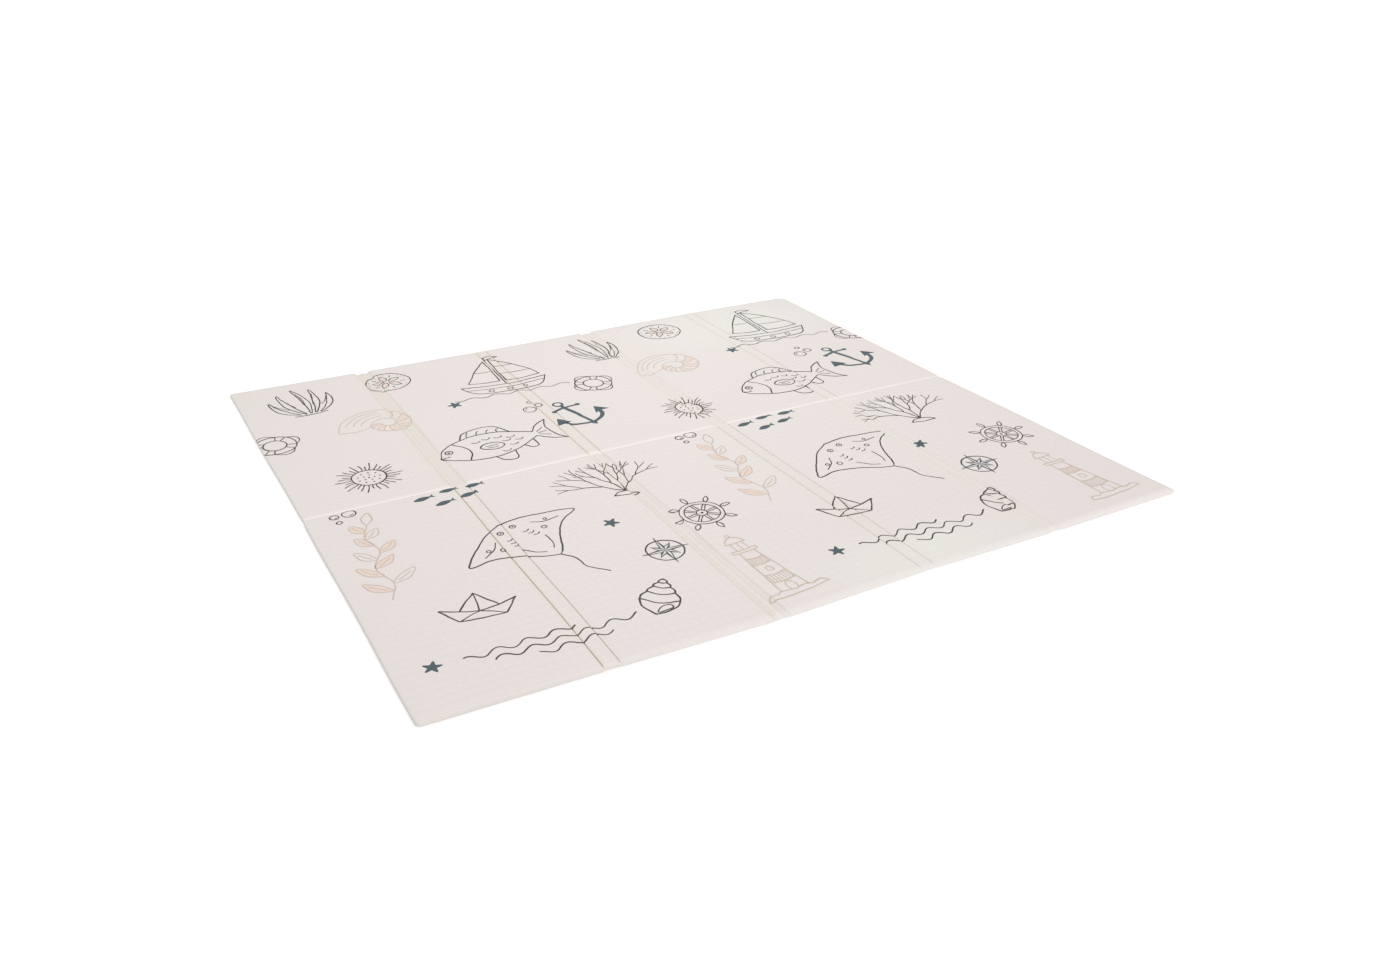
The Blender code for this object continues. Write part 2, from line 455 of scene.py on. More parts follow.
@dataclass(frozen=True)
class GridLines:
    """Where the lines of the mat's mesh lie on the flat sheet: close in the folds and at the rim.

    Attributes:
        form: the form that the grid is pressed to.
        column_step: widest step between columns.
        row_step: widest step between rows.
        rim: how far lines lie from the rim, in mm.
        band: how far columns lie from the middle of a fold band, in mm.
        crease: how far rows lie from the middle of the crease, in mm.
    """

    form: PressedForm
    column_step: float = 0.0195
    row_step: float = 0.0235
    rim: tuple[float, ...] = (0, 0.1, 0.3, 0.7, 1.2, 2.0, 3.0, 4.5, 6.5, 9, 13, 18, 24, 30)
    band: tuple[float, ...] = (
        *(0, 1.8, 3.4, 5.0, 6.4, 7.6, 8.8, 10.2, 12.0, 13.6, 14.8),
        *(15.6, 16.3, 16.9, 17.3, 17.7, 18.1, 18.5, 18.9, 19.3, 19.7, 20.1, 20.7, 21.4),
        *(22.2, 23.4, 25.0, 28.0, 34.0),
    )
    crease: tuple[float, ...] = (
        *(0, 0.9, 1.8, 2.8, 3.8, 4.8, 5.9, 7.1, 8.4, 9.8, 11.4, 13.2, 16, 20, 26, 34),
    )

    def lines(
        self, size: float, middles: list[float], near: tuple[float, ...], step: float
    ) -> np.ndarray:
        """Give where the lines lie along one axis.

        Args:
            size: size of the sheet along it.
            middles: the middle of each fold.
            near: how far lines lie from such a middle, in mm.
            step: the widest gap that stays open.

        Returns:
            All the lines, in order.
        """
        fixed = {side * (size / 2 - inward * MM) for side in (-1, 1) for inward in self.rim}
        for middle in middles:
            fixed |= {middle + side * away * MM for side in (-1, 1) for away in near}
        lines = sorted({round(line, 6) for line in fixed})
        for low, high in list(zip(lines, lines[1:])):
            parts = math.ceil((high - low) / step - 0.001)
            lines += [low + (high - low) * number / parts for number in range(1, parts)]
        return np.array(sorted(lines))

    def columns(self) -> np.ndarray:
        """Give X of the columns."""
        return self.lines(self.form.length, self.form.middles(), self.band, self.column_step)

    def rows(self) -> np.ndarray:
        """Give Y of the rows."""
        return self.lines(self.form.depth, [0.0], self.crease, self.row_step)


# Finishes


@dataclass(frozen=True)
class EmbossedFilm:
    """Cast polyethylene film, embossed by a roller while warm, which gives a soft satin gloss.

    Attributes:
        square: pitch of the embossed squares, 25 mm.
        valley: share of a square's pitch that its soft border takes.
        emboss: height of the squares over their borders.
        grain: size of the satin grain. The real grain is about 0.3 mm, which is too fine to show,
            so it is drawn at 1.6 mm.
        roughness: typical roughness of embossed polyethylene.
    """

    square: float = 0.025
    valley: float = 0.32
    emboss: float = 0.00050
    grain: float = 0.0016
    grain_height: float = 0.00003
    roughness: float = 0.46
    ior: float = 1.50

    def relief(self, tree: bpy.types.NodeTree) -> bpy.types.NodeSocket:
        """Build the embossed squares and the satin grain as a normal.

        Args:
            tree: the material's node tree.

        Returns:
            The output that holds the normal.
        """
        place = add_node(tree, "TexCoord", output="Object")
        turns = (math.pi / self.square, math.pi / self.square, 0.0)
        turned = add_node(tree, "VectorMath", {0: place, 1: turns}, operation="MULTIPLY")
        sine = add_node(tree, "VectorMath", {0: turned}, operation="SINE")
        away = add_node(tree, "VectorMath", {0: sine}, operation="ABSOLUTE")
        sides = add_node(tree, "SeparateXYZ", {0: away}).node.outputs
        nearest = add_node(tree, "Math", {0: sides["X"], 1: sides["Y"]}, operation="MINIMUM")
        border = {"Value": nearest, "From Max": self.valley * math.pi / 2}
        square = add_node(tree, "MapRange", border, interpolation_type="SMOOTHSTEP")
        grain = add_node(tree, "TexNoise", {"Vector": place, "Scale": 1 / self.grain})
        fine = {"Height": grain, "Distance": self.grain_height, "Strength": 1.0}
        coarse = {"Height": square, "Distance": self.emboss, "Strength": 1.0}
        return add_node(tree, "Bump", coarse | {"Normal": add_node(tree, "Bump", fine)})


@dataclass(frozen=True)
class FilmOverFoam:
    """Off-white film over closed-cell polyethylene foam.

    The eye sees a warm, slightly mottled white with a soft gloss. Where a fold is pressed hard the
    film is stretched and the foam under it shows through, yellower. Painted shade darkens the folds'
    hollows, and painted highlights, painted rim shade and painted patches of light lie on the film
    too.

    Attributes:
        colour: the film on a panel.
        mottle: the same film where it lies a little thicker.
        marks: for each attribute of the sheet, its colour where it is 1; some are painted shade and
            light.
        mottle_size: size of the mottle's clouds.
        mottle_span: the noise values between which the mottle rises from none to all.
        gloss_span: how far the roughness varies to each side.
    """

    film: EmbossedFilm
    colour: str = "#DFD5D2"
    mottle: str = "#DDD7D3"
    marks: tuple[tuple[str, str], ...] = (
        # Foam showing through at the folds, with painted shade in their hollows
        ("pressed", "#DBD4C7"),
        # Foam showing through in the grooves, darkened by painted shade, most in the left groove
        ("scored", "#C4B49C"),
        # Painted highlight along the crease, over slightly paler film
        ("creased", "#EDE5E2"),
        # Painted highlight along the front rim, stronger to the right
        ("sealed", "#E7E0DD"),
        # Painted shade along the left, back and right rims, and the front rim's left part
        ("turned", "#CBC4BE"),
        # Painted light: lighter, cooler patches where more light falls
        ("clouded", "#E1DED8"),
    )
    mottle_size: float = 0.45
    mottle_span: tuple[float, float] = (0.30, 0.70)
    gloss_span: float = 0.04

    def material(self) -> bpy.types.Material:
        """Build the material."""
        material, shader = new_material("embossed_film_over_polyethylene_foam")
        tree = material.node_tree
        place = add_node(tree, "TexCoord", output="Object")
        noise = {"Vector": place, "Scale": 1 / self.mottle_size, "Detail": 5.0, "Roughness": 0.6}
        cloud = add_node(tree, "TexNoise", noise)
        low, high = self.mottle_span
        cloudy = add_node(tree, "MapRange", {"Value": cloud, "From Min": low, "From Max": high})
        colours = {0: cloudy, 6: linear(self.colour), 7: linear(self.mottle)}
        shade = add_node(tree, "Mix", colours, output=2, data_type="RGBA")
        for name, colour in self.marks:
            mark = add_node(tree, "Attribute", output="Fac", attribute_name=name)
            colours = {0: mark, 6: shade, 7: linear(colour)}
            shade = add_node(tree, "Mix", colours, output=2, data_type="RGBA")
        low, high = self.film.roughness - self.gloss_span, self.film.roughness + self.gloss_span
        gloss = add_node(tree, "MapRange", {"Value": cloud, "To Min": low, "To Max": high})
        set_inputs(
            shader,
            {
                "Base Color": shade,
                "Roughness": gloss,
                "IOR": self.film.ior,
                "Normal": self.film.relief(tree),
            },
        )
        return material


class Ink(Enum):
    """Inks of the print: the name of each piece, its colour and its lift over the film in mm."""

    PEACH_WASH = ("print_peach_washes", "#DFCDC1", 0.08)
    TAN_LINE = ("print_tan_lines", "#C7B5A6", 0.13)
    UMBER_LINE = ("print_umber_lines", "#352B28", 0.13)
    SLATE_LINE = ("print_slate_lines", "#1E2625", 0.13)
    SLATE_SOLID = ("print_slate_solids", "#3C4E54", 0.10)

    @property
    def piece(self) -> str:
        """Name of the piece that holds this ink."""
        return self.value[0]

    @property
    def lift(self) -> float:
        """Lift over the film, in metres."""
        return self.value[2] * MM


@dataclass(frozen=True)
class PrintedInk:
    """Gravure ink under the embossed film: the eye sees flat colour with the film's own gloss."""

    film: EmbossedFilm
    ink: Ink

    def material(self) -> bpy.types.Material:
        """Build the material."""
        material, shader = new_material("gravure_ink_" + self.ink.name.lower())
        set_inputs(
            shader,
            {
                "Base Color": linear(self.ink.value[1]),
                "Roughness": self.film.roughness,
                "IOR": self.film.ior,
                "Normal": self.film.relief(material.node_tree),
            },
        )
        return material


# The mat


@dataclass(frozen=True)
class FoldStain:
    """How strongly one fold band is tinted, from 0 to 1: foam showing through, and painted shade.

    Attributes:
        trough: over the whole trough.
        bottom: as well, in the left low line of the trough, as painted shade.
        pair: over the whole pair of grooves.
        beside: as well, next to the left groove.
        scored: in the left groove and in the right one, foam and painted shade.
    """

    trough: float
    bottom: float
    pair: float
    beside: float
    scored: tuple[float, float]


@dataclass
class FoamSheet:
    """The foam sheet with its film, both faces and the rim.

    Attributes:
        form: its pressed form.
        grid: where the lines of its mesh lie.
        film: the film on it.
        stains: how the foam shows through, with painted shade, at each fold band.
        stain_shift: how far a stain's middle lies to the left of the fold's.
        stain_reach: how far a stain reaches to each side.
        beside_reach: the same beside a groove.
        right_share: how much of the stain and painted shade beside the left groove the right one
            has.
        score_reach: the same in a groove.
        low_line: from where to where a trough's low line rises and falls, from its middle.
        score_wave: by how much of itself a groove's stain varies, and the length of that.
        crease_reach: how far the paler film and painted highlight of the crease reach.
        corner_yellow: how far the foam shows through at the back left corner, and its reach.
        clouds: where painted light makes the film lighter and cooler: each patch's middle and two
            radii.
        rim_turn: from where to where the painted shade along the front and left rim fades inwards.
        far_rim_turn: the same over the back and right rim, where the painted shade is weaker.
        seal: from where to where the painted highlight along the front rim fades inwards.
        seal_rise: from where to where, in X, that painted highlight rises from none to all.
        turn_fall: from where to where, in X, the painted shade of the front rim fades.
    """

    form: PressedForm
    grid: GridLines
    film: EmbossedFilm
    stains: tuple[FoldStain, ...] = (
        FoldStain(trough=0.58, bottom=0.10, pair=0.02, beside=0.58, scored=(1.0, 0.15)),
        FoldStain(trough=0.22, bottom=0.42, pair=0.45, beside=0.28, scored=(0.40, 0.45)),
        FoldStain(trough=0.30, bottom=0.05, pair=0.22, beside=0.18, scored=(0.15, 0.20)),
        FoldStain(trough=0.14, bottom=0.04, pair=0.05, beside=0.12, scored=(0.25, 0.25)),
    )
    stain_shift: float = 0.004
    stain_reach: float = 0.030
    beside_reach: float = 0.0090
    right_share: float = 0.55
    score_reach: float = 0.0008
    low_line: tuple[float, ...] = (0.0030, 0.0080, 0.0170, 0.0220)
    score_wave: tuple[float, float] = (0.12, 0.19)
    crease_reach: float = 0.0036
    corner_yellow: tuple[float, float] = (0.45, 0.11)
    clouds: tuple[tuple[float, ...], ...] = ((0.66, 0.74, 0.38, 0.24), (0.24, -0.84, 0.27, 0.10))
    rim_turn: tuple[float, float] = (0.0005, 0.0040)
    far_rim_turn: tuple[float, float] = (0.004, 0.014)
    seal: tuple[float, float] = (0.006, 0.022)
    seal_rise: tuple[float, float] = (-0.9, 0.3)
    turn_fall: tuple[float, float] = (-0.9, -0.3)

    def build(self) -> bpy.types.Object:
        """Build the sheet from a grid that is extruded to two faces.

        Returns:
            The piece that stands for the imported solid.
        """
        columns, rows = self.grid.columns(), self.grid.rows()
        bm = bmesh.new()
        bmesh.ops.create_grid(bm, x_segments=len(columns) - 1, y_segments=len(rows) - 1, size=0.5)
        extruded = bmesh.ops.extrude_face_region(bm, geom=bm.faces[:], use_keep_orig=True)
        top = [item for item in extruded["geom"] if isinstance(item, bmesh.types.BMVert)]
        bmesh.ops.translate(bm, verts=top, vec=(0, 0, 1))
        bmesh.ops.recalc_face_normals(bm, faces=bm.faces[:])
        piece = make_piece("foam_sheet", bm, FilmOverFoam(self.film).material())
        self.press(piece.data, columns, rows)
        return piece

    def press(self, mesh: bpy.types.Mesh, columns: np.ndarray, rows: np.ndarray) -> None:
        """Press the flat mesh to the mat's form, and mark where its film is stretched.

        Args:
            mesh: the mesh, one unit square with the top one unit up.
            columns: X of each column.
            rows: Y of each row.
        """
        flat = np.empty(len(mesh.vertices) * 3)
        mesh.vertices.foreach_get("co", flat)
        flat = flat.reshape(-1, 3)
        x = columns[np.rint((flat[:, 0] + 0.5) * (len(columns) - 1)).astype(int)]
        y = rows[np.rint((flat[:, 1] + 0.5) * (len(rows) - 1)).astype(int)]
        is_top = flat[:, 2:] > 0.5
        placed = np.where(is_top, self.form.place(x, y, False), self.form.place(x, y, True))
        mesh.vertices.foreach_set("co", placed.ravel())
        for name, values in self.marks(x, y, ~is_top[:, 0]).items():
            mesh.attributes.new(name, "FLOAT", "POINT").data.foreach_set("value", values)
        mesh.update()

    def marks(self, x: np.ndarray, y: np.ndarray, underside: np.ndarray) -> dict[str, np.ndarray]:
        """Work out how far the film is stretched, and where shade and light are painted on it.

        Args:
            x: X on the flat sheet.
            y: Y on the flat sheet.
            underside: whether each point is on the underside.

        Returns:
            For each attribute, its value from 0 to 1 at each point.
        """
        behind = self.form.behind_crease(x, y)
        pressed, scored, clouded = (np.zeros_like(x) for _ in range(3))
        for band, (middle, stain) in enumerate(zip(self.form.middles(), self.stains)):
            above = self.form.kind_share(band, behind, False)
            trough = np.where(underside, 1 - above, above)
            left, offset = x < middle, np.abs(x - middle)
            whole = hump(x - middle + self.stain_shift, self.stain_reach, 4)
            low_line = smooth_step(*self.low_line[:2], offset)
            low_line *= 1 - smooth_step(*self.low_line[2:], offset)
            beside = hump(offset - GROOVE_AT, self.beside_reach)
            # Painted shade: less of it beside the right groove than beside the left
            beside *= np.where(left, 1.0, self.right_share)
            # Foam showing through, plus painted shade in each trough's left low line
            pressed += trough * (stain.trough * whole + stain.bottom * low_line * left)
            pressed += (1 - trough) * (stain.pair * whole + stain.beside * beside)
            share, length = self.score_wave
            # Painted shade makes the left groove darker than the right
            strength = np.where(left, *stain.scored) * (1 + share * wave(y, length, band))
            line = hump(offset - GROOVE_AT, self.score_reach) * self.form.groove_share(y)
            scored += (1 - trough) * strength * line
        corner = np.hypot(x + self.form.length / 2, y - self.form.depth / 2)
        pressed += self.corner_yellow[0] * hump(corner, self.corner_yellow[1])
        # Painted highlight along the crease, over slightly paler film, weaker where the folds are
        # tinted
        creased = hump(behind, self.crease_reach) * (1 - 0.6 * np.clip(pressed, 0, 1))
        # Painted light: two lighter, cooler patches where more light falls
        for middle_x, middle_y, wide, deep in self.clouds:
            clouded += hump(x - middle_x, wide) * hump(y - middle_y, deep)
        clouded *= 1 - np.clip(pressed + scored, 0, 1)
        marks = {"pressed": pressed, "scored": scored, "creased": creased, "clouded": clouded}
        marks |= self.rim_marks(x, y)
        return {name: np.clip(values, 0, 1) for name, values in marks.items()}

    def rim_marks(self, x: np.ndarray, y: np.ndarray) -> dict[str, np.ndarray]:
        """Work out where a highlight and shade are painted along the rim.

        Args:
            x: X on the flat sheet.
            y: Y on the flat sheet.

        Returns:
            For each attribute, its value at each point.
        """
        from_left, from_right = self.form.length / 2 + x, self.form.length / 2 - x
        from_front, from_back = self.form.depth / 2 + y, self.form.depth / 2 - y
        past_front_rim_shade = smooth_step(*self.rim_turn, from_front)
        # Painted highlight along the front rim, rising to the right and halved at the very edge
        sealed = (1 - smooth_step(*self.seal, from_front)) * smooth_step(*self.seal_rise, x)
        sealed *= 0.5 + 0.5 * past_front_rim_shade
        # Painted shade along the left rim, the front rim's left part and, weaker, the back and right
        # rims
        turned = 1 - smooth_step(*self.rim_turn, from_left)
        turned += 0.5 * (1 - smooth_step(*self.turn_fall, x)) * (1 - past_front_rim_shade)
        turned += 0.3 * (1 - smooth_step(*self.far_rim_turn, np.minimum(from_back, from_right)))
        return {"sealed": sealed, "turned": turned}

    def surface(self) -> "TopFace":
        """Give the top face, for what is laid on it."""
        columns, rows = self.grid.columns(), self.grid.rows()
        return TopFace(columns, rows, self.form.place(columns[None, :], rows[:, None], False))


@dataclass(frozen=True)
class TopFace:
    """The mat's top face as its mesh has it.

    Attributes:
        columns: X of each column on the flat sheet.
        rows: Y of each row on the flat sheet.
        points: the point where each row crosses each column.
    """

    columns: np.ndarray
    rows: np.ndarray
    points: np.ndarray

    def normals(self) -> np.ndarray:
        """Give the face's normal at each crossing."""
        along = np.gradient(self.points, axis=1)
        across = np.gradient(self.points, axis=0)
        normals = np.cross(along, across)
        return normals / np.linalg.norm(normals, axis=2, keepdims=True)

    def lay(self, flat: np.ndarray) -> np.ndarray:
        """Lay points of the flat sheet on the face.

        Args:
            flat: X and Y on the flat sheet and the lift over it, a row for each point.

        Returns:
            The points on the face.
        """
        column = np.clip(np.searchsorted(self.columns, flat[:, 0]) - 1, 0, len(self.columns) - 2)
        row = np.clip(np.searchsorted(self.rows, flat[:, 1]) - 1, 0, len(self.rows) - 2)
        start_x, start_y = self.columns[column], self.rows[row]
        share_x = ((flat[:, 0] - start_x) / (self.columns[column + 1] - start_x))[:, None]
        share_y = ((flat[:, 1] - start_y) / (self.rows[row + 1] - start_y))[:, None]
        lifted = []
        for grid in (self.points, self.normals()):
            near = grid[row, column] * (1 - share_x) + grid[row, column + 1] * share_x
            far = grid[row + 1, column] * (1 - share_x) + grid[row + 1, column + 1] * share_x
            lifted.append(near * (1 - share_y) + far * share_y)
        return lifted[0] + lifted[1] * flat[:, 2:]


# Lines and shapes of the print

# A leaf at three places along it: its share of the length, of the half width and of the bend
BLADE_SHAPE = ((0.22, 0.70, 0.7), (0.50, 1.0, 1.0), (0.80, 0.62, 0.6))
# Its rib at three places: its share of the length and of the bend
RIB_SHAPE = ((0.20, 0.65), (0.50, 1.0), (0.76, 0.70))

# Any element of a bmesh
Elem = bmesh.types.BMVert | bmesh.types.BMEdge | bmesh.types.BMFace


def knots(text: str) -> Path:
    """Read points that are written as x,y with spaces between them."""
    return np.array([complex(*map(float, knot.split(","))) for knot in text.split()])


def unit(degrees: float) -> complex:
    """Give the unit direction at an angle."""
    return np.exp(1j * math.radians(degrees))


def spline(*points: complex, closed: bool = False) -> Path:
    """Draw a smooth curve through points, at least two.

    Args:
        points: points in order.
        closed: whether the curve returns to its first point.

    Returns:
        The curve.
    """
    row = np.array(points, dtype=complex)
    if closed:
        row = np.concatenate([row[-1:], row, row[:2]])
    else:
        row = np.concatenate([2 * row[:1] - row[1:2], row, 2 * row[-1:] - row[-2:-1]])
    share = np.arange(12) / 12
    parts = []
    for first, second, third, fourth in zip(row, row[1:], row[2:], row[3:]):
        parts.append(
            second
            + 0.5 * share * (third - first)
            + 0.5 * share**2 * (2 * first - 5 * second + 4 * third - fourth)
            + 0.5 * share**3 * (3 * second - first - 3 * third + fourth)
        )
    if not closed:
        parts.append(row[-2:-1])
    return np.concatenate(parts)


def arc(centre: complex, radius: float, start: float, end: float, flat: float = 1.0) -> Path:
    """Draw part of a circle or ellipse.

    Args:
        centre: its middle.
        radius: half its width.
        start: angle of its start, in degrees.
        end: angle of its end.
        flat: height over width.

    Returns:
        The arc.
    """
    angles = np.radians(np.linspace(start, end, max(8, int(abs(end - start) / 7))))
    return centre + radius * (np.cos(angles) + 1j * flat * np.sin(angles))


def ring(centre: complex, radius: float, flat: float = 1.0) -> Path:
    """Draw a whole circle or ellipse, to be closed."""
    return arc(centre, radius, 0, 360, flat)[:-1]


def blade(root: complex, tip: complex, half_width: float, bend: float = 0.0) -> Path:
    """Draw the outline of a leaf or petal, to be closed.

    Args:
        root: where it starts.
        tip: where it ends.
        half_width: half its greatest width.
        bend: how far its middle lies to the left, as a share of its length.

    Returns:
        The outline.
    """
    way = tip - root
    left = 1j * way / abs(way)
    sides = {
        side: [
            root + along * way + left * (side * wide * half_width + bent * bend * abs(way))
            for along, wide, bent in BLADE_SHAPE
        ]
        for side in (1, -1)
    }
    return spline(root, *sides[1], tip, *reversed(sides[-1]), closed=True)


def rib(root: complex, tip: complex, bend: float = 0.0) -> Path:
    """Draw the middle rib of a leaf that has the same root, tip and bend."""
    way = tip - root
    left = 1j * way * bend
    return spline(*(root + along * way + bent * left for along, bent in RIB_SHAPE))


def even_path(path: Path, step: float, closed: bool) -> Path:
    """Space a path's points evenly.

    Args:
        path: the path.
        step: about how far apart its points end up.
        closed: whether it returns to its start.

    Returns:
        The path with even points.
    """
    if closed:
        path = np.append(path, path[0])
    run = np.concatenate([[0.0], np.cumsum(np.abs(np.diff(path)))])
    places = np.linspace(0, run[-1], max(3, round(run[-1] / step)) + 1)
    even = np.interp(places, run, path.real) + 1j * np.interp(places, run, path.imag)
    return even[:-1] if closed else even


def headings(path: Path, closed: bool) -> Path:
    """Give the unit direction of a path at each of its points."""
    way = np.roll(path, -1) - np.roll(path, 1) if closed else np.gradient(path)
    return way / np.maximum(np.abs(way), 1e-9)


class PrintLayer:
    """All that is printed with one ink, drawn flat, then cut and laid on the mat."""

    step = 2.8 * MM
    inset = 1.1 * MM
    lift_step = 0.006 * MM
    lifts = 9
    cut_within = 1e-7
    end_angles = (8, 28, 50, 70)

    def __init__(self, ink: Ink) -> None:
        """Start an empty layer of one ink."""
        self.ink = ink
        self.bm = bmesh.new()
        self.drawn = 0

    def put(self, verts: list[bmesh.types.BMVert], points: Path) -> None:
        """Put a shape's vertices at its points, a little off its neighbours' lift."""
        self.drawn += 1
        lift = self.ink.lift + self.lift_step * (self.drawn % self.lifts)
        for vert, point in zip(verts, points):
            vert.co = (point.real, point.imag, lift)

    def stroke(self, path: Path, width: np.ndarray, closed: bool) -> None:
        """Draw a pen line as a narrow strip with round ends.

        Args:
            path: middle of the line on the film, with even points.
            width: its width at each point.
            closed: whether its end joins its start.
        """
        heading, half = headings(path, closed), width / 2
        if closed:
            path, heading, half = (np.append(row, row[0]) for row in (path, heading, half))
        else:
            turn = np.radians(self.end_angles)
            head = path[0] - heading[0] * half[0] * np.cos(turn)
            tail = (path[-1] + heading[-1] * half[-1] * np.cos(turn))[::-1]
            path = np.concatenate([head, path, tail])
            first, last = (np.full(len(turn), heading[end]) for end in (0, -1))
            heading = np.concatenate([first, heading, last])
            round_end = np.sin(turn)
            half = np.concatenate([half[0] * round_end, half, half[-1] * round_end[::-1]])
        count = len(path) - 1
        strip = bmesh.ops.create_grid(self.bm, x_segments=count, y_segments=1, size=0.5)["verts"]
        aside = 1j * heading * half
        self.put(strip, np.concatenate([path - aside, path + aside]))
        if closed:
            bmesh.ops.remove_doubles(self.bm, verts=strip, dist=0.01 * MM)

    def solid(self, path: Path) -> None:
        """Draw a filled shape from its outline."""
        outline = bmesh.ops.create_circle(self.bm, cap_ends=True, radius=1, segments=len(path))
        self.put(outline["verts"], path)
        faces = list({face for vert in outline["verts"] for face in vert.link_faces})
        bmesh.ops.triangulate(self.bm, faces=faces)

    def cut(self, axis: int, lines: np.ndarray) -> None:
        """Cut the faces along lines across one axis, so that each lies within one mesh cell.

        Args:
            axis: 0 for lines across X, 1 for lines across Y.
            lines: where they lie, in order.
        """

        def end(face: bmesh.types.BMFace, furthest: Callable[..., float]) -> float:
            """Give a face's lowest or highest place on the axis."""
            return furthest(vert.co[axis] for vert in face.verts)

        waiting = sorted(self.bm.faces, key=lambda face: end(face, min), reverse=True)
        reached: list[bmesh.types.BMFace] = []
        across = Vector((1, 0, 0)) if axis == 0 else Vector((0, 1, 0))
        for line in lines:
            while waiting and end(waiting[-1], min) < line:
                reached.append(waiting.pop())
            reached = [face for face in reached if end(face, max) > line]
            if reached:
                edges = {edge for face in reached for edge in face.edges}
                verts = {vert for face in reached for vert in face.verts}
                parted = self.bisect([*reached, *edges, *verts], across * line, across)
                reached = [item for item in parted if isinstance(item, bmesh.types.BMFace)]

    def bisect(
        self, geometry: list[Elem], place: Vector, normal: Vector, clear: bool = False
    ) -> list[Elem]:
        """Part geometry with a plane.

        Args:
            geometry: vertices, edges and faces.
            place: a point of the plane.
            normal: its normal.
            clear: whether what lies beyond the plane is taken away.

        Returns:
            The parted geometry.
        """
        return bmesh.ops.bisect_plane(
            self.bm,
            geom=geometry,
            dist=self.cut_within,
            plane_co=place,
            plane_no=normal,
            clear_outer=clear,
        )["geom"]

    def trim(self, half_length: float, half_depth: float) -> None:
        """Cut away what reaches over the mat's outline.

        Args:
            half_length: half the mat's size along X.
            half_depth: half its size along Y.
        """
        for along, reach in ((Vector((1, 0, 0)), half_length), (Vector((0, 1, 0)), half_depth)):
            for outwards in (along, -along):
                everything = [*self.bm.verts, *self.bm.edges, *self.bm.faces]
                self.bisect(everything, outwards * (reach - self.inset), outwards, clear=True)

    def shift_verts(self, moved: np.ndarray) -> None:
        """Give every vertex its new place."""
        for vert, place in zip(self.bm.verts, moved):
            vert.co = place

    def places(self) -> np.ndarray:
        """Give the place of every vertex, a row for each."""
        return np.array([vert.co for vert in self.bm.verts], dtype=float).reshape(-1, 3)

    def build(self, mat: FoamSheet, face: TopFace) -> bpy.types.Object:
        """Take the drawing from the flat film to the pressed mat.

        Args:
            mat: the mat that it is printed on.
            face: the mat's top face.

        Returns:
            The piece that holds this ink.
        """
        film = self.places()
        film[:, 0] = mat.form.film_to_sheet(film[:, 0], film[:, 1])
        self.shift_verts(film)
        self.trim(mat.form.length / 2, mat.form.depth / 2)
        self.cut(0, face.columns)
        self.cut(1, face.rows)
        self.shift_verts(face.lay(self.places()))
        bmesh.ops.recalc_face_normals(self.bm, faces=self.bm.faces[:])
        down = [item for item in self.bm.faces if item.normal.z < 0]
        bmesh.ops.reverse_faces(self.bm, faces=down)
        return make_piece(self.ink.piece, self.bm, PrintedInk(mat.film, self.ink).material())


